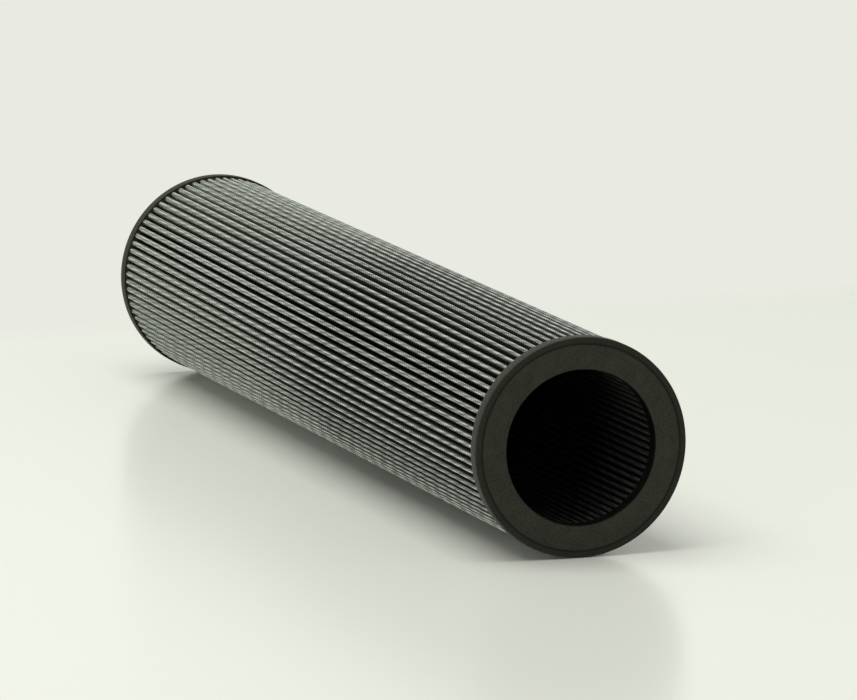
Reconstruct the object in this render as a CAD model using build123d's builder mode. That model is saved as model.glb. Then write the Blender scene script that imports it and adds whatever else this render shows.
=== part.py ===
from build123d import *
import os
from math import asin, atan2, cos, hypot, pi, sin

# A coreless pleated hydraulic filter element: a ring of deep folds in a five-ply
# support, fleece and filter sandwich, its two ends set in adhesive inside a pair
# of open moulded end caps. Everything is in millimetres. +Z runs along the
# element from the bottom cap to the top cap, and the origin is the centre of the
# bottom cap's face.

# ---- overall size -----------------------------------------------------------
element_length = 420.0  # over both cap faces
cap_diameter = 78.0
bore_diameter = 55.0

# ---- end caps ---------------------------------------------------------------
skirt_wall = 0.6  # thin outer lip that closes round the fold tips
collar_wall = 1.2  # inner wall that lines the bore
face_thickness = 1.8
skirt_height = 5.2  # from the cap's face to the lip's edge
collar_height = 6.0  # from the cap's face to the collar's edge
cap_corner_radius = 0.6
bore_chamfer = 0.5
groove_inset = 2.0  # from the rim to the outside of the fine groove in the face
groove_width = 0.8
groove_depth = 0.3

# ---- pleat pack -------------------------------------------------------------
pleat_count = 77
crest_clearance = 0.1  # fold tips to the cap's lip
root_clearance = 0.6  # inner folds to the cap's collar
crest_slit = 0.1  # gap between the two flanks inside an outer fold
root_slit = 0.1  # gap between the two flanks inside an inner fold
flats_per_fold = 4  # each fold is bent round in this many equal flats

# Plies from the clean side (facing the bore) to the dirty side.
ply_thickness = {
    "inner_mesh": 0.18,
    "downstream_fleece": 0.10,
    "filter_medium": 0.20,
    "prefilter_layer": 0.12,
    "outer_mesh": 0.20,
}

# ---- adhesive ---------------------------------------------------------------
potting_floor = 0.8  # adhesive between the cap's face and the pleat ends
embedded_depth = 2.2  # how far the pleat ends stand in the adhesive
seam_bead_depth = 4.5  # radial depth of the bead that closes the pack's side seam

# ---- values that follow -----------------------------------------------------
cap_radius = cap_diameter / 2
bore_radius = bore_diameter / 2
skirt_inner_radius = cap_radius - skirt_wall
collar_outer_radius = bore_radius + collar_wall
crest_radius = skirt_inner_radius - crest_clearance
root_radius = collar_outer_radius + root_clearance
groove_radius = cap_radius - groove_inset

pack_thickness = sum(ply_thickness.values())
pleat_end = face_thickness + potting_floor
pleat_length = element_length - 2 * pleat_end
pitch_angle = 2 * pi / pleat_count

# The ply faces bend round common centres at each fold, and the flanks between
# them are parallel, so neighbouring plies lie face to face all the way.
crest_centre_radius = crest_radius - pack_thickness - crest_slit / 2
root_centre_radius = root_radius + pack_thickness + root_slit / 2

# The line from a fold tip's centre to the next inner fold's centre, and how far
# a flank leans from it to pass on the other side of each.
centres_across = root_centre_radius * sin(pitch_angle / 2)
centres_inward = crest_centre_radius - root_centre_radius * cos(pitch_angle / 2)
centres_apart = hypot(centres_across, centres_inward)
flank_lean = asin((pack_thickness + crest_slit / 2 + root_slit / 2) / centres_apart)
crest_half_bend = pi / 2 - atan2(centres_across, centres_inward) + flank_lean
root_half_bend = crest_half_bend - pitch_angle / 2


def polar(radius, angle):
    return Vector(radius * cos(angle), radius * sin(angle))


def bend(centre, radius, start_angle, end_angle):
    """Points round one fold, in equal flats."""
    step = (end_angle - start_angle) / flats_per_fold
    return [centre + polar(radius, start_angle + step * flat) for flat in range(flats_per_fold + 1)]


def ply_face(depth):
    """Points of one ply face, from the side seam once round to the seam again.

    depth is measured into the pack from its clean side.
    """
    crest_bend_radius = crest_slit / 2 + depth
    root_bend_radius = root_slit / 2 + pack_thickness - depth
    points = []
    for pleat in range(pleat_count):
        root_angle = pleat * pitch_angle
        root_bend = bend(
            polar(root_centre_radius, root_angle),
            root_bend_radius,
            root_angle + pi + root_half_bend,
            root_angle + pi - root_half_bend,
        )
        crest_angle = root_angle + pitch_angle / 2
        crest_bend = bend(
            polar(crest_centre_radius, crest_angle),
            crest_bend_radius,
            crest_angle - crest_half_bend,
            crest_angle + crest_half_bend,
        )
        # the seam takes the place of the first inner fold: each end is cut off there
        if pleat == 0:
            points.append(root_bend[-1])
            seam_end = root_bend[0]
        else:
            points.extend(root_bend)
        points.extend(crest_bend)
    return points + [seam_end]


def ply_band(clean_depth, dirty_depth):
    """Outline between two ply faces, cut square at the seam."""
    return ply_face(clean_depth) + ply_face(dirty_depth)[::-1]


def seam_corners():
    """The bead's corners, on the two dirty-side flanks that face each other."""
    dirty_face = ply_face(pack_thickness)
    corners = []
    for root_end, crest_end in ((dirty_face[0], dirty_face[1]), (dirty_face[-1], dirty_face[-2])):
        rise = (crest_end - root_end).normalized() * seam_bead_depth
        corners.append([root_end, root_end + rise])
    return corners[0] + corners[1][::-1]


# ---- end caps ---------------------------------------------------------------
def cap_outline():
    """Half section of the bottom cap, in the XZ plane."""
    return [
        (bore_radius, 0),
        (cap_radius, 0),
        (cap_radius, skirt_height),
        (skirt_inner_radius, skirt_height),
        (skirt_inner_radius, face_thickness),
        (collar_outer_radius, face_thickness),
        (collar_outer_radius, collar_height),
        (bore_radius, collar_height),
    ]


with BuildPart() as bottom_end_cap:
    with BuildSketch(Plane.XZ):
        with BuildLine():
            Polyline(*cap_outline(), close=True)
        make_face()
    revolve(axis=Axis.Z)
    with BuildSketch(Plane.XY):
        Circle(groove_radius)
        Circle(groove_radius - groove_width, mode=Mode.SUBTRACT)
    extrude(amount=groove_depth, mode=Mode.SUBTRACT)
    face_edges = bottom_end_cap.edges().filter_by(GeomType.CIRCLE).group_by(Axis.Z)[0]
    fillet(face_edges.sort_by(SortBy.RADIUS)[-1], cap_corner_radius)
    face_edges = bottom_end_cap.edges().filter_by(GeomType.CIRCLE).group_by(Axis.Z)[0]
    chamfer(face_edges.sort_by(SortBy.RADIUS)[0], bore_chamfer)

mid_plane = Plane.XY.offset(element_length / 2)
with BuildPart() as top_end_cap:
    mirror(bottom_end_cap.part, about=mid_plane)

# ---- pleated plies ----------------------------------------------------------
plies = []
clean_depth = 0.0
for ply_name, thickness in ply_thickness.items():
    dirty_depth = clean_depth + thickness
    with BuildPart() as ply:
        with BuildSketch(Plane.XY.offset(pleat_end)):
            with BuildLine():
                Polyline(*ply_band(clean_depth, dirty_depth), close=True)
            make_face()
        extrude(amount=pleat_length)
    ply.part.label = ply_name
    plies.append(ply)
    clean_depth = dirty_depth

# ---- adhesive ---------------------------------------------------------------
with BuildPart() as seam_bead:
    with BuildSketch(Plane.XY.offset(pleat_end)):
        with BuildLine():
            Polyline(*seam_corners(), close=True)
        make_face()
    extrude(amount=pleat_length)

with BuildPart() as bottom_potting:
    with BuildSketch(Plane.XY.offset(face_thickness)):
        Circle(skirt_inner_radius)
        Circle(collar_outer_radius, mode=Mode.SUBTRACT)
    extrude(amount=potting_floor)
    with BuildSketch(Plane.XY.offset(pleat_end)):
        Circle(skirt_inner_radius)
        Circle(collar_outer_radius, mode=Mode.SUBTRACT)
        with BuildLine():
            Polyline(*ply_band(0, pack_thickness), close=True)
        make_face(mode=Mode.SUBTRACT)
        with BuildLine():
            Polyline(*seam_corners(), close=True)
        make_face(mode=Mode.SUBTRACT)
    extrude(amount=embedded_depth)

with BuildPart() as top_potting:
    mirror(bottom_potting.part, about=mid_plane)

# ---- files ------------------------------------------------------------------
bottom_end_cap.part.label = "bottom_end_cap"
top_end_cap.part.label = "top_end_cap"
seam_bead.part.label = "seam_bead"
bottom_potting.part.label = "bottom_potting"
top_potting.part.label = "top_potting"

os.makedirs("parts", exist_ok=True)
export_step(bottom_end_cap.part, "parts/bottom_end_cap.step")
export_step(top_end_cap.part, "parts/top_end_cap.step")
export_step(seam_bead.part, "parts/seam_bead.step")
export_step(bottom_potting.part, "parts/bottom_potting.step", write_pcurves=False)
export_step(top_potting.part, "parts/top_potting.step", write_pcurves=False)
for ply in plies:
    export_step(ply.part, f"parts/{ply.part.label}.step", write_pcurves=False)
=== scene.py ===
from collections import namedtuple
from math import asin, atan2, cos, hypot, pi, radians, sin

import bpy
from mathutils import Matrix, Vector


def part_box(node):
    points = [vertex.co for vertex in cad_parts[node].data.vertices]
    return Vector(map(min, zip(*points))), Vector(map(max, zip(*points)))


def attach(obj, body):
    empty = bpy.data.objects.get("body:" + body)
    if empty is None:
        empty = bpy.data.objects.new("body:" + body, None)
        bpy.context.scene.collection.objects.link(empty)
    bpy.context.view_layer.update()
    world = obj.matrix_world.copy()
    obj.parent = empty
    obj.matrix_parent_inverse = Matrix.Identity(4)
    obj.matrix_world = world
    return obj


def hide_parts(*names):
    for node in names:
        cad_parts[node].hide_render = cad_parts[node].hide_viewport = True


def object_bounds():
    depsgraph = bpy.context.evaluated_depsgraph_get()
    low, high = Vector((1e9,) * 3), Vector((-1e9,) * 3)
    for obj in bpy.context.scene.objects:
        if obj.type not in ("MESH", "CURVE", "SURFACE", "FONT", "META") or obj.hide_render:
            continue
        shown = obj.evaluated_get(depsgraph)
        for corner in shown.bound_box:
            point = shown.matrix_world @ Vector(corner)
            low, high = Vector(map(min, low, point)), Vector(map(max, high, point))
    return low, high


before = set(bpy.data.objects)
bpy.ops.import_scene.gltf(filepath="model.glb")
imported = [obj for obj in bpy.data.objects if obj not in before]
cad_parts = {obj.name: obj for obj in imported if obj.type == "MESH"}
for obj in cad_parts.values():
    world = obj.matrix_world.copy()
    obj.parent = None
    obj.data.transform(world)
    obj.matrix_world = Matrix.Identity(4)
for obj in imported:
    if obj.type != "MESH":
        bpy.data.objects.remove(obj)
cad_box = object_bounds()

# The filter element stands on its bottom cap along +Z, in metres. The camera and
# the floor are turned a quarter round it, so that it lies on its side in the
# picture: the floor is an upright plane that both cap rims touch.

MM = 0.001

# ---- sizes of the element ---------------------------------------------------
low_corner, high_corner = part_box("outer_mesh")
PLEAT_LOW = low_corner[2]
PLEAT_HIGH = high_corner[2]
CAP_RADIUS = (cad_box[1][0] - cad_box[0][0]) / 2
ELEMENT_LENGTH = cad_box[1][2] - cad_box[0][2]

SKIRT_WALL = 0.6 * MM
SKIRT_HEIGHT = 5.2 * MM
COLLAR_WALL = 1.2 * MM
COLLAR_HEIGHT = 6.0 * MM
FACE_THICKNESS = 1.8 * MM
BORE_RADIUS = 27.5 * MM
SKIRT_INNER_RADIUS = CAP_RADIUS - SKIRT_WALL
COLLAR_OUTER_RADIUS = BORE_RADIUS + COLLAR_WALL
CORNER_RADIUS = 0.6 * MM
BORE_CHAMFER = 0.5 * MM
GROOVE_INSET = 2.0 * MM
GROOVE_RADIUS = CAP_RADIUS - GROOVE_INSET
GROOVE_WIDTH = 0.8 * MM
GROOVE_DEPTH = 0.3 * MM
SKIRT_EDGE = 0.15 * MM  # radius along the lip's edges
COLLAR_EDGE = 0.3 * MM  # radius along the collar's edges

PLEAT_COUNT = 77
PLIES = {
    "inner_mesh": 0.18 * MM,
    "downstream_fleece": 0.10 * MM,
    "filter_medium": 0.20 * MM,
    "prefilter_layer": 0.12 * MM,
    "outer_mesh": 0.20 * MM,
}
PACK_THICKNESS = sum(PLIES.values())
FOLD_SLIT = 0.1 * MM  # between the two flanks inside a fold
CREST_CLEARANCE = 0.1 * MM  # fold tips to the cap's lip
ROOT_CLEARANCE = 0.6 * MM  # inner folds to the cap's collar
EMBEDDED_DEPTH = 2.2 * MM  # how far the pleat ends stand in the adhesive
SEAM_BEAD_DEPTH = 4.5 * MM
CREST_RADIUS = SKIRT_INNER_RADIUS - CREST_CLEARANCE
ROOT_RADIUS = COLLAR_OUTER_RADIUS + ROOT_CLEARANCE
POTTING_TOP = PLEAT_LOW + EMBEDDED_DEPTH

# How the folds wander from dead straight between the caps.
TWIST = radians(6.7)
DRIFT = radians(1.0)
DRIFT_PHASE = 0.15
DRIFT_ONSET = 4  # the higher, the sooner the drift comes in below the top cap
RIPPLE = radians(0.12)
RIPPLE_WAVES = ((9, 4.1), (14, -6.3))  # waves round the element, and their turn down it

# How finely curves are drawn.
CLOTH_FLATS, CLOTH_ROWS = 6, 18  # flats round a fold, and rows up the element
FIBRE_FLATS, FIBRE_ROWS = 4, 12
POTTING_SEGMENTS = 192
CAP_SEGMENTS = 256


# ---- shape of the folds -----------------------------------------------------
PITCH = 2 * pi / PLEAT_COUNT
CREST_CENTRE = CREST_RADIUS - PACK_THICKNESS - FOLD_SLIT / 2
ROOT_CENTRE = ROOT_RADIUS + PACK_THICKNESS + FOLD_SLIT / 2
CENTRES_ACROSS = ROOT_CENTRE * sin(PITCH / 2)
CENTRES_INWARD = CREST_CENTRE - ROOT_CENTRE * cos(PITCH / 2)
FLANK_LEAN = asin((PACK_THICKNESS + FOLD_SLIT) / hypot(CENTRES_ACROSS, CENTRES_INWARD))
CREST_HALF_BEND = pi / 2 - atan2(CENTRES_ACROSS, CENTRES_INWARD) + FLANK_LEAN
ROOT_HALF_BEND = CREST_HALF_BEND - PITCH / 2


def polar(radius, angle):
    return Vector((radius * cos(angle), radius * sin(angle)))


def bend(centre, radius, start_angle, end_angle, flats):
    """Points round one fold, in equal flats."""
    step = (end_angle - start_angle) / flats
    return [centre + polar(radius, start_angle + step * i) for i in range(flats + 1)]


def ply_face(depth, flats):
    """Points of one ply face, from the seam once round to the seam again.

    depth is measured into the pack from its clean side, which faces the bore.
    """
    crest_bend = FOLD_SLIT / 2 + depth
    root_bend = FOLD_SLIT / 2 + PACK_THICKNESS - depth
    points = []
    for pleat in range(PLEAT_COUNT):
        root = pleat * PITCH
        crest = root + PITCH / 2
        root_points = bend(polar(ROOT_CENTRE, root), root_bend,
                           root + pi + ROOT_HALF_BEND, root + pi - ROOT_HALF_BEND, flats)
        # the seam takes the place of the first inner fold: each end is cut off there
        if pleat == 0:
            seam_end = root_points[0]
            root_points = root_points[-1:]
        points += root_points
        points += bend(polar(CREST_CENTRE, crest), crest_bend,
                       crest - CREST_HALF_BEND, crest + CREST_HALF_BEND, flats)
    return points + [seam_end]


def fold_turn(angle, height):
    """How far the folds have turned about the axis at a height, in radians."""
    down = (PLEAT_HIGH - height) / (PLEAT_HIGH - PLEAT_LOW)
    drift = (1 - (1 - down) ** DRIFT_ONSET) * sin(2 * angle - DRIFT_PHASE)
    waves = sum(sin(count * angle + turn * down) for count, turn in RIPPLE_WAVES)
    ripple = sin(pi * down) * waves
    return DRIFT * drift + RIPPLE * ripple - TWIST * down


def placed(point, height):
    """A point of the folds' section, carried round to where they run at a height."""
    angle = atan2(point[1], point[0])
    turn = fold_turn(angle, height)
    return (point[0] * cos(turn) - point[1] * sin(turn),
            point[0] * sin(turn) + point[1] * cos(turn), height)


def run_lengths(points):
    """How far along their line each of the points lies."""
    lengths = [0.0]
    for before, after in zip(points, points[1:]):
        lengths.append(lengths[-1] + (after - before).length)
    return lengths


# ---- mesh helpers -----------------------------------------------------------
def new_piece(name, vertices, faces, uvs=None, smooth_angle=None):
    mesh = bpy.data.meshes.new(name)
    mesh.from_pydata(vertices, [], faces)
    if uvs:
        layer = mesh.uv_layers.new(name="cloth")
        for loop in mesh.loops:
            layer.data[loop.index].uv = uvs[loop.vertex_index]
    mesh.validate()
    if smooth_angle is not None:
        mesh.shade_smooth()
        mesh.set_sharp_from_angle(angle=smooth_angle)
    mesh.update()
    piece = bpy.data.objects.new(name, mesh)
    bpy.context.scene.collection.objects.link(piece)
    return piece


def settle(piece, material, node):
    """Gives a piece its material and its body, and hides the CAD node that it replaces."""
    piece.data.materials.append(material)
    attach(piece, "root")
    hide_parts(node)


def levels(low, high, steps):
    """Heights from low to high, in equal steps."""
    return [low + (high - low) * i / steps for i in range(steps + 1)]


def wall_faces(count, rows, closed):
    """Faces of a wall: two sides of count points in rows, the second side numbered on."""
    side = count * rows
    top = side - count
    steps = count if closed else count - 1
    faces = []
    for row in range(rows - 1):
        for i in range(steps):
            here, there = row * count + i, row * count + (i + 1) % count
            above_here, above_there = here + count, there + count
            faces.append((there, here, above_here, above_there))
            faces.append((here + side, there + side, above_there + side, above_here + side))
    for i in range(steps):
        j = (i + 1) % count
        faces.append((i, j, j + side, i + side))
        faces.append((top + j, top + i, top + i + side, top + j + side))
    if not closed:
        for row in range(rows - 1):
            start, end = row * count, row * count + count - 1
            faces.append((start + count, start, start + side, start + side + count))
            faces.append((end, end + count, end + side + count, end + side))
    return faces


def wall_mesh(first_face, second_face, heights, closed):
    """A wall between two faces of equal point count, drawn up through heights.

    A closed wall runs on from its last point to its first.
    """
    vertices = []
    uvs = []
    for face in (first_face, second_face):
        lengths = run_lengths(face)
        for height in heights:
            for point, length in zip(face, lengths):
                vertices.append(placed(point, height))
                uvs.append((length, height))
    return vertices, wall_faces(len(first_face), len(heights), closed), uvs


# ---- node helpers -----------------------------------------------------------
class Nodes:
    """The node tree of a material or world, with short calls for what is used here."""

    def __init__(self, owner):
        owner.use_nodes = True
        self.owner = owner
        self.tree = owner.node_tree
        self.tree.nodes.clear()

    def add(self, kind, inputs=None, **settings):
        node = self.tree.nodes.new("ShaderNode" + kind)
        for key, value in settings.items():
            setattr(node, key, value)
        for key, value in (inputs or {}).items():
            self.feed(node.inputs[key], value)
        return node

    def feed(self, socket, value):
        if isinstance(value, bpy.types.NodeSocket):
            self.tree.links.new(value, socket)
        elif isinstance(value, tuple) and len(value) == 3 and socket.type == "RGBA":
            socket.default_value = (*value, 1)
        else:
            socket.default_value = value

    def math(self, operation, *values, clamp=False):
        node = self.add("Math", operation=operation, use_clamp=clamp)
        for socket, value in zip(node.inputs, values):
            self.feed(socket, value)
        return node.outputs[0]

    def mix(self, factor, first, second):
        node = self.add("Mix", data_type="RGBA")
        self.feed(node.inputs[0], factor)
        self.feed(node.inputs[6], first)
        self.feed(node.inputs[7], second)
        return node.outputs[2]

    def noise(self, place, scale, detail, roughness=0.55):
        return self.add("TexNoise", {"Vector": place, "Scale": scale, "Detail": detail,
                                     "Roughness": roughness}).outputs["Fac"]

    def stretch(self, value, low, high, new_low, new_high):
        return self.add("MapRange", {"Value": value, "From Min": low, "From Max": high,
                                     "To Min": new_low, "To Max": new_high}).outputs[0]

    def object_place(self):
        return self.add("TexCoord").outputs["Object"]

    def height(self, place):
        return self.add("SeparateXYZ", {"Vector": place}).outputs["Z"]

    def radius(self, place):
        """Distance from the element's axis."""
        flat = self.add("VectorMath", {0: place, 1: (1, 1, 0)}, operation="MULTIPLY")
        return self.add("VectorMath", {0: flat.outputs[0]}, operation="LENGTH").outputs["Value"]

    def bump(self, height, distance, strength):
        return self.add("Bump", {"Height": height, "Distance": distance,
                                 "Strength": strength}).outputs[0]

    def blend(self, factor, first, second):
        return self.add("MixShader", {0: factor, 1: first.outputs[0], 2: second.outputs[0]})

    def shade(self, **inputs):
        names = {key.replace("_", " "): value for key, value in inputs.items()}
        return self.finish(self.add("BsdfPrincipled", names))

    def finish(self, shader):
        self.add("OutputMaterial", {"Surface": shader.outputs[0]})
        return self.owner


def material_nodes(name):
    return Nodes(bpy.data.materials.new(name))


def colour(red, green, blue):
    """A colour from the 0 to 255 values that it shows on a screen."""
    def linear(level):
        level /= 255
        return level / 12.92 if level <= 0.04045 else ((level + 0.055) / 1.055) ** 2.4
    return (linear(red), linear(green), linear(blue))


# ---- wire cloth -------------------------------------------------------------
WIRE_PITCH = 1.17 * MM
WIRE_WIDTH = 0.64  # of the pitch
WIRE_SWING = 0.38  # how far a wire rises and dips from its mean height
UPRIGHT_WIRE = 0.75  # height of the wires along the folds, those across them being 1
WIRE_RELIEF = 0.12 * MM
SWELL_LENGTH = 10 * WIRE_PITCH
SWELL_SLANT = 540.0  # swells to the metre across the folds

# Down through two heights, the wires get their rubbing and painted highlight as if they stood
# further outward from the axis, and the rest of the wires, in painted shade, come to the colour in
# the last field.
Low = namedtuple("Low", "heights outward dull")


def weave(n, place):
    """Height of plain-woven wire, 0 in the holes and 1 on top of a wire."""
    cells = []
    offsets = []
    for axis in (0, 1):
        scaled = n.math("DIVIDE", place.outputs[axis], WIRE_PITCH)
        cell = n.math("FLOOR", scaled)
        cells.append(cell)
        offsets.append(n.math("SUBTRACT", n.math("SUBTRACT", scaled, cell), 0.5))
    parity = n.math("PINGPONG", n.math("ADD", *cells), 1.0)
    sign = n.math("SUBTRACT", n.math("MULTIPLY", parity, 2.0), 1.0)
    heights = []
    for across, along, over, full in ((0, 1, 1.0, UPRIGHT_WIRE), (1, 0, -1.0, 1.0)):
        aside = n.math("DIVIDE", offsets[across], WIRE_WIDTH / 2)
        dome = n.math("SUBTRACT", 1.0, n.math("MULTIPLY", aside, aside), clamp=True)
        swing = n.math("COSINE", n.math("MULTIPLY", offsets[along], pi))
        lift = n.math("MULTIPLY", n.math("MULTIPLY", swing, sign), WIRE_SWING * over)
        rise = n.math("MULTIPLY", n.math("ADD", lift, 1.0 - WIRE_SWING), full)
        heights.append(n.math("MULTIPLY", n.math("SQRT", dome), rise))
    return n.math("MAXIMUM", *heights)


def swells(n, place, body):
    """The long slanting swells that the cloth's wires bunch into along each fold."""
    along = n.math("DIVIDE", place.outputs[1], SWELL_LENGTH)
    across = n.math("MULTIPLY", place.outputs[0], SWELL_SLANT)
    wander = n.noise(body, 40.0, 1.0)
    turns = n.math("ADD", n.math("ADD", along, across), wander)
    return n.stretch(n.math("SINE", n.math("MULTIPLY", turns, 2 * pi)), -0.9, 0.4, 0.0, 1.0)


def woven_wire(name, rubbed_and_lit, dull, hole_shade, rub_and_light_radii, low, metallic, roughness):
    """Wire cloth on the ply's own map, u round the folds and v up the element.

    At the fold tips the wires are rubbed and carry a painted highlight, from not at all at the
    first of the two radii to fully at the second; down the flanks they carry painted shade, and
    the holes between them are painted shade as well. low says what changes low on the element.
    """
    n = material_nodes(name)
    place = n.add("SeparateXYZ", {"Vector": n.add("UVMap", uv_map="cloth").outputs[0]})
    height = weave(n, place)
    wire = n.stretch(height, 0.05, 0.5, 0.0, 1.0)
    body = n.object_place()
    z = n.height(body)
    outward = n.stretch(z, *low.heights, low.outward, 0.0)
    # Fold tips by distance from the axis: there the wires are rubbed and carry a painted
    # highlight, and down the flanks they carry painted shade.
    tip = n.stretch(n.math("ADD", n.radius(body), outward), *rub_and_light_radii, 0.0, 1.0)
    patch = n.stretch(n.noise(body, 120.0, 4.0), 0.3, 0.7, 0.0, 0.2)
    slack = n.math("MULTIPLY", n.math("SUBTRACT", 1.0, swells(n, place, body)), 0.5)
    wear_and_light = n.math("MULTIPLY", tip, n.math("SUBTRACT", n.math("SUBTRACT", 1.0, patch), slack))
    knuckle = n.stretch(height, 0.35, 0.8, 0.2, 1.0)
    # The flanks' colour is a painted shade, which changes low on the element.
    plain = n.mix(n.stretch(z, *low.heights, 1.0, 0.0), dull, low.dull)
    metal = n.mix(n.math("MULTIPLY", wear_and_light, knuckle), plain, rubbed_and_lit)
    # The holes between the wires are a painted shade of the plies beneath them.
    base = n.mix(wire, hole_shade, metal)
    return n.shade(Base_Color=base, Metallic=metallic, Roughness=roughness,
                   Specular_IOR_Level=0.2, Normal=n.bump(height, WIRE_RELIEF, 0.8))


def outer_cloth():
    """Rubbed and with a painted highlight on the outer fold tips, with painted shade on the flanks
    and in the holes; towards the bottom cap the painted shade on the flanks lightens and the tips
    are lit more widely.
    """
    return woven_wire("outer_wire_cloth", rubbed_and_lit=colour(240, 245, 237), dull=colour(38, 41, 37),
                      hole_shade=colour(18, 20, 17),
                      rub_and_light_radii=(CREST_RADIUS - 0.5 * MM, CREST_RADIUS - 0.12 * MM),
                      low=Low((0.0, 0.24), 1.2 * MM, colour(108, 116, 106)),
                      metallic=0.2, roughness=0.6)


def inner_cloth():
    """Rubbed fold tips with a grey painted highlight where they show in the bore, painted shade on
    the flanks and in the holes, and painted shade near black from a little way down the bore.
    """
    return woven_wire("inner_wire_cloth", rubbed_and_lit=colour(110, 114, 110), dull=colour(20, 22, 20),
                      hole_shade=colour(12, 12, 11), rub_and_light_radii=(ROOT_RADIUS + 0.6 * MM, ROOT_RADIUS),
                      low=Low((0.34, 0.41), 0.6 * MM, colour(12, 13, 12)),
                      metallic=0.0, roughness=0.8)


# ---- other finishes ---------------------------------------------------------
def moulded_plastic(name):
    """Dark olive-grey filled plastic: satin, mottled, darker in the rim's band, with painted shade
    in the face's groove and near black painted shade on the bore's wall.
    """
    n = material_nodes(name)
    place = n.object_place()
    cloud = n.stretch(n.noise(place, 190.0, 6.0, 0.7), 0.34, 0.66, 0.0, 1.0)
    grain = n.noise(place, 1500.0, 2.0, 0.8)
    tone = n.mix(cloud, colour(23, 27, 22), colour(46, 46, 36))
    tone = n.mix(n.stretch(grain, 0.42, 0.62, 0.0, 0.7), tone, colour(56, 57, 48))
    radius = n.radius(place)
    band = n.math("MULTIPLY", n.stretch(radius, GROOVE_RADIUS - 0.9 * MM, GROOVE_RADIUS, 0, 0.5),
                  n.stretch(radius, CAP_RADIUS - 0.3 * MM, CAP_RADIUS - 0.05 * MM, 1, 0))
    tone = n.mix(band, tone, colour(16, 17, 13))
    # Painted shade along the groove in the cap's face.
    middle = n.math("ABSOLUTE", n.math("SUBTRACT", radius, GROOVE_RADIUS - GROOVE_WIDTH / 2))
    groove_shade = n.stretch(middle, GROOVE_WIDTH * 0.3, GROOVE_WIDTH * 0.6, 0.6, 0)
    tone = n.mix(groove_shade, tone, colour(10, 11, 8))
    # Painted shade, near black, on the wall of the bore.
    bore_shade = n.stretch(radius, BORE_RADIUS + 0.05 * MM, BORE_RADIUS + 0.45 * MM, 1.0, 0)
    tone = n.mix(bore_shade, tone, colour(3, 3, 2))
    rough = n.stretch(cloud, 0.0, 1.0, 0.5, 0.65)
    relief = n.math("ADD", n.math("MULTIPLY", grain, 0.4), cloud)
    return n.shade(Base_Color=tone, Roughness=rough, Specular_IOR_Level=0.16,
                   Normal=n.bump(relief, 0.06 * MM, 0.5))


def cured_adhesive(name):
    n = material_nodes(name)
    flow = n.noise(n.object_place(), 160.0, 3.0)
    base = n.mix(flow, colour(38, 36, 32), colour(58, 55, 48))
    return n.shade(Base_Color=base, Roughness=0.35, Normal=n.bump(flow, 0.1 * MM, 0.6))


def fibre_sheet(name, pale, dark):
    """Pressed fibre: long fine strands, matt."""
    n = material_nodes(name)
    place = n.object_place()
    strands = n.noise(place, 900.0, 6.0, 0.7)
    cloud = n.noise(place, 60.0, 3.0)
    base = n.mix(n.math("MULTIPLY", strands, cloud), pale, dark)
    return n.shade(Base_Color=base, Roughness=0.9, Normal=n.bump(strands, 0.04 * MM, 0.7))


# ---- pleated plies ----------------------------------------------------------
def make_plies():
    outer = outer_cloth()
    inner = inner_cloth()
    fleece = fibre_sheet("spun_fleece", colour(214, 216, 208), colour(170, 172, 165))
    media = fibre_sheet("glass_fibre", colour(224, 224, 214), colour(186, 186, 176))
    finishes = {
        "inner_mesh": (inner, "wire_mesh", CLOTH_FLATS, CLOTH_ROWS),
        "downstream_fleece": (fleece, "fleece", FIBRE_FLATS, FIBRE_ROWS),
        "filter_medium": (media, "filter_media", FIBRE_FLATS, FIBRE_ROWS),
        "prefilter_layer": (media, "filter_media", FIBRE_FLATS, FIBRE_ROWS),
        "outer_mesh": (outer, "wire_mesh", CLOTH_FLATS, CLOTH_ROWS),
    }
    depth = 0.0
    for node, thickness in PLIES.items():
        material, slot, flats, rows = finishes[node]
        clean = ply_face(depth, flats)
        dirty = ply_face(depth + thickness, flats)
        heights = levels(PLEAT_LOW, PLEAT_HIGH, rows)
        vertices, faces, uvs = wall_mesh(clean, dirty, heights, closed=False)
        piece = new_piece(node + "_cloth", vertices, faces, uvs, radians(40))
        settle(piece, material, node)
        depth += thickness


def make_seam_bead(material):
    """The bead between the two flanks that face each other across the seam."""
    dirty = ply_face(PACK_THICKNESS, 1)
    sides = []
    for root_end, crest_end in ((dirty[0], dirty[1]), (dirty[-1], dirty[-2])):
        run = crest_end - root_end
        sides.append([root_end, root_end + run * (SEAM_BEAD_DEPTH / run.length)])
    heights = levels(PLEAT_LOW, PLEAT_HIGH, CLOTH_ROWS)
    vertices, faces, uvs = wall_mesh(sides[0], sides[1], heights, closed=False)
    piece = new_piece("seam_bead_strip", vertices, faces, uvs, radians(40))
    settle(piece, material, "seam_bead")


# ---- adhesive in the caps ---------------------------------------------------
def ring(radius, face):
    """A circle's points, one abreast of each point of a ply face."""
    return [polar(radius, atan2(point[1], point[0])) for point in face]


def potting_walls():
    """The adhesive in the bottom cap, as walls of (inner face, outer face, low, high).

    They stand outside the pleats, inside them and under their ends.
    """
    clean = ply_face(0.0, FIBRE_FLATS)
    dirty = ply_face(PACK_THICKNESS, FIBRE_FLATS)
    around = [polar(1, 2 * pi * i / POTTING_SEGMENTS) for i in range(POTTING_SEGMENTS)]
    return [
        (dirty, ring(SKIRT_INNER_RADIUS, dirty), PLEAT_LOW, POTTING_TOP),
        (ring(COLLAR_OUTER_RADIUS, clean), clean, PLEAT_LOW, POTTING_TOP),
        ([point * COLLAR_OUTER_RADIUS for point in around],
         [point * SKIRT_INNER_RADIUS for point in around], FACE_THICKNESS, PLEAT_LOW),
    ]


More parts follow.
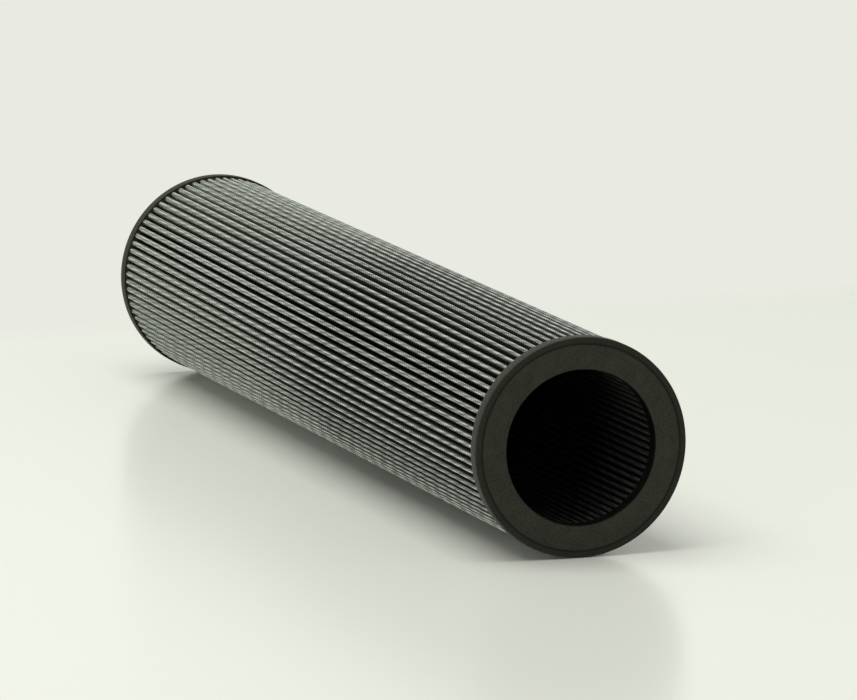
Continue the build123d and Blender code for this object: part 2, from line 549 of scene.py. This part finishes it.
def make_potting(name, node, to_height, material):
    """The adhesive in a cap's channel, with the pleat ends standing in it."""
    vertices = []
    faces = []
    for inner, outer, low, high in potting_walls():
        heights = sorted((to_height(low), to_height(high)))
        wall, wall_sides, _ = wall_mesh(inner, outer, heights, closed=True)
        start = len(vertices)
        vertices += wall
        faces += [tuple(index + start for index in face) for face in wall_sides]
    settle(new_piece(name, vertices, faces, None, radians(40)), material, node)


# ---- end caps ---------------------------------------------------------------
def from_bottom(height):
    return height


def from_top(height):
    return ELEMENT_LENGTH - height


def rounded(centre, radius, start, end, steps):
    """Points round a section's corner, from one angle to another, in degrees."""
    turn = radians(end - start) / steps
    return [(centre[0] + radius * cos(radians(start) + turn * i),
             centre[1] + radius * sin(radians(start) + turn * i)) for i in range(steps + 1)]


def cap_section():
    """Half section of a cap as (radius, height above its face), anticlockwise."""
    skirt_top = SKIRT_HEIGHT - SKIRT_EDGE
    collar_top = COLLAR_HEIGHT - COLLAR_EDGE
    section = [(BORE_RADIUS, BORE_CHAMFER), (BORE_RADIUS + BORE_CHAMFER * 0.3, BORE_CHAMFER * 0.3),
               (BORE_RADIUS + BORE_CHAMFER, 0)]
    section += [(GROOVE_RADIUS - GROOVE_WIDTH * inset, GROOVE_DEPTH * depth)
                for inset, depth in ((1, 0), (0.8, 0.8), (0.5, 1), (0.2, 0.8), (0, 0))]
    section += rounded((CAP_RADIUS - CORNER_RADIUS, CORNER_RADIUS), CORNER_RADIUS, -90, 0, 6)
    section += rounded((CAP_RADIUS - SKIRT_EDGE, skirt_top), SKIRT_EDGE, 0, 90, 3)
    section += rounded((SKIRT_INNER_RADIUS + SKIRT_EDGE, skirt_top), SKIRT_EDGE, 90, 180, 3)
    section += [(SKIRT_INNER_RADIUS, FACE_THICKNESS), (COLLAR_OUTER_RADIUS, FACE_THICKNESS)]
    section += rounded((COLLAR_OUTER_RADIUS - COLLAR_EDGE, collar_top), COLLAR_EDGE, 0, 90, 4)
    section += rounded((BORE_RADIUS + COLLAR_EDGE, collar_top), COLLAR_EDGE, 90, 180, 4)
    return section


def lathe(section, segments, to_height):
    """The section turned once round the axis, each height put where to_height says."""
    vertices = []
    count = len(section)
    for step in range(segments):
        angle = 2 * pi * step / segments
        vertices += [(radius * cos(angle), radius * sin(angle), to_height(height))
                     for radius, height in section]
    flipped = to_height(1.0) < to_height(0.0)
    faces = []
    for step in range(segments):
        start, following = step * count, (step + 1) % segments * count
        for i in range(count):
            j = (i + 1) % count
            face = (start + i, start + j, following + j, following + i)
            faces.append(face if flipped else face[::-1])
    return vertices, faces


def make_cap(name, node, to_height, material):
    vertices, faces = lathe(cap_section(), CAP_SEGMENTS, to_height)
    settle(new_piece(name, vertices, faces, None, radians(30)), material, node)


# ---- where the picture is taken from ----------------------------------------
FLOOR_NORMAL_ANGLE = radians(-43.65)
UP = Vector((cos(FLOOR_NORMAL_ANGLE), sin(FLOOR_NORMAL_ANGLE), 0))
TOWARDS = Vector((0, 0, 1))
RIGHT = UP.cross(TOWARDS)
NEAR_FACE = Vector((0, 0, ELEMENT_LENGTH))
SENSOR_WIDTH = 36  # this and the focal length are in millimetres
FOCAL_LENGTH = 349.4
CAMERA_PLACE = (-0.9817, 0.5061, 2.6735)
CAMERA_TARGET = (0.0252, -0.0037, -0.2353)
CAMERA_REACH = 50.0


def picture_point(right, up, towards):
    """A place given from the near cap's centre, as the picture lies."""
    return NEAR_FACE + RIGHT * right + UP * up + TOWARDS * towards


def aim(holder, place, target, up):
    """Stands a camera or lamp at a place, looking at the target."""
    back = (place - target).normalized()
    right = up.cross(back).normalized()
    upward = back.cross(right)
    turn = Matrix((right, upward, back)).transposed().to_4x4()
    holder.matrix_world = Matrix.Translation(place) @ turn


def make_camera():
    data = bpy.data.cameras.new("camera")
    data.sensor_width = SENSOR_WIDTH
    data.lens = FOCAL_LENGTH
    data.clip_end = CAMERA_REACH
    camera = bpy.data.objects.new("camera", data)
    bpy.context.scene.collection.objects.link(camera)
    aim(camera, picture_point(*CAMERA_PLACE), picture_point(*CAMERA_TARGET), UP)
    bpy.context.scene.camera = camera


# ---- floor, backdrop and light ----------------------------------------------
FLOOR_EDGE = 0.123  # beyond the far cap
FLOOR_FADE = 0.04  # the edge fades into the backdrop over this
FLOOR_REACH = 4.0
BACKDROP_COLOUR = colour(233, 235, 226)
FILL_COLOUR = (0.98, 1.0, 0.96)
FILL_STRENGTH = 0.4
LAMP_COLOUR = (1.0, 1.0, 0.96)


def white_sheet():
    """Glossy white, seen from above only. It lets the lamp below it through to the element."""
    n = material_nodes("white_sheet")
    place = n.object_place()
    base = n.mix(n.noise(place, 3.0, 2.0), colour(240, 242, 234), colour(244, 246, 239))
    sheet = n.add("BsdfPrincipled", {"Base Color": base, "Roughness": 0.22,
                                     "Specular IOR Level": 0.22})
    below = n.add("NewGeometry").outputs["Backfacing"]
    lamplight = n.add("LightPath").outputs["Is Shadow Ray"]
    fade = n.stretch(n.height(place), -FLOOR_EDGE, FLOOR_FADE - FLOOR_EDGE, 1.0, 0.0)
    gone = n.math("MAXIMUM", n.math("MAXIMUM", below, lamplight), fade)
    return n.finish(n.blend(gone, sheet, n.add("BsdfTransparent")))


def make_floor():
    """The sheet that the element lies on, as far as a little way beyond its far cap."""
    low = -ELEMENT_LENGTH - FLOOR_EDGE
    corners = [(-FLOOR_REACH, low), (FLOOR_REACH, low), (FLOOR_REACH, FLOOR_REACH),
               (-FLOOR_REACH, FLOOR_REACH)]
    vertices = [picture_point(x, -CAP_RADIUS, z) for x, z in corners]
    floor = new_piece("floor", vertices, [(0, 3, 2, 1)])
    if floor.data.polygons[0].normal.dot(UP) < 0:
        floor.data.flip_normals()
    floor.data.materials.append(white_sheet())


def make_lamp(name, place, target, size, power):
    data = bpy.data.lights.new(name, "AREA")
    data.shape = "RECTANGLE"
    data.size, data.size_y = size
    data.energy = power
    data.color = LAMP_COLOUR
    lamp = bpy.data.objects.new(name, data)
    bpy.context.scene.collection.objects.link(lamp)
    aim(lamp, place, target, TOWARDS)


def make_lamps():
    middle = picture_point(0, 0, -ELEMENT_LENGTH / 2)
    make_lamp("overhead", picture_point(-0.5, 1.6, -0.1), middle, (1.5, 1.5), 22)
    make_lamp("underside", picture_point(-0.1, -1.6, -0.55), middle, (1.6, 1.6), 12)
    make_lamp("front", picture_point(-1.3, 0.12, 1.3), NEAR_FACE, (0.9, 0.4), 4)


def make_world():
    """The backdrop's colour where it is seen or mirrored, and a soft fill for the rest."""
    n = Nodes(bpy.data.worlds.new("studio"))
    path = n.add("LightPath").outputs
    seen = n.math("MAXIMUM", path["Is Camera Ray"], path["Is Glossy Ray"])
    seen = n.math("MAXIMUM", seen, path["Is Transmission Ray"])
    fill = n.add("Background", {"Color": FILL_COLOUR, "Strength": FILL_STRENGTH})
    backdrop = n.add("Background", {"Color": BACKDROP_COLOUR})
    n.add("OutputWorld", {"Surface": n.blend(seen, fill, backdrop).outputs[0]})
    bpy.context.scene.world = n.owner


# ---- making it --------------------------------------------------------------
make_camera()
make_lamps()
make_world()
make_floor()
bpy.context.scene.view_settings.view_transform = "Standard"

plastic = moulded_plastic("olive_grey_plastic")
adhesive = cured_adhesive("cured_adhesive")
make_cap("bottom_cap_moulding", "bottom_end_cap", from_bottom, plastic)
make_cap("top_cap_moulding", "top_end_cap", from_top, plastic)
make_plies()
make_seam_bead(adhesive)
make_potting("bottom_potting_ring", "bottom_potting", from_bottom, adhesive)
make_potting("top_potting_ring", "top_potting", from_top, adhesive)
